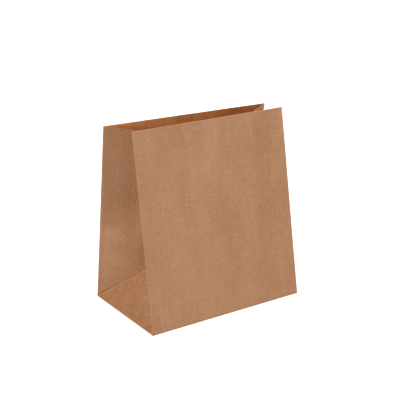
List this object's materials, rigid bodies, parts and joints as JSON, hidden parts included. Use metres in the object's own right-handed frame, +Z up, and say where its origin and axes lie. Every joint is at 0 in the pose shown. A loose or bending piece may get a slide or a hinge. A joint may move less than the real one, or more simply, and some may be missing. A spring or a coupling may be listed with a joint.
{
  "type": "brown paper lunch bag",
  "caption": "Open brown kraft paper bag with a flat block bottom and folded-in side gussets, standing on its base, with its mouth partly closed and no handles.",
  "frame": {"origin": "centre of the base rectangle, on the surface that the bag stands on", "axes": "+Z up from the base to the mouth, +X across the wide panels, -Y out of the front panel"},
  "size_m": [0.2717, 0.1601, 0.2863],
  "materials": {
    "kraft_paper": "matt uncoated brown kraft paper with fine fibres"
  },
  "bodies": {
    "root": {"paper_bag": "kraft_paper"}
  },
  "joints": []
}
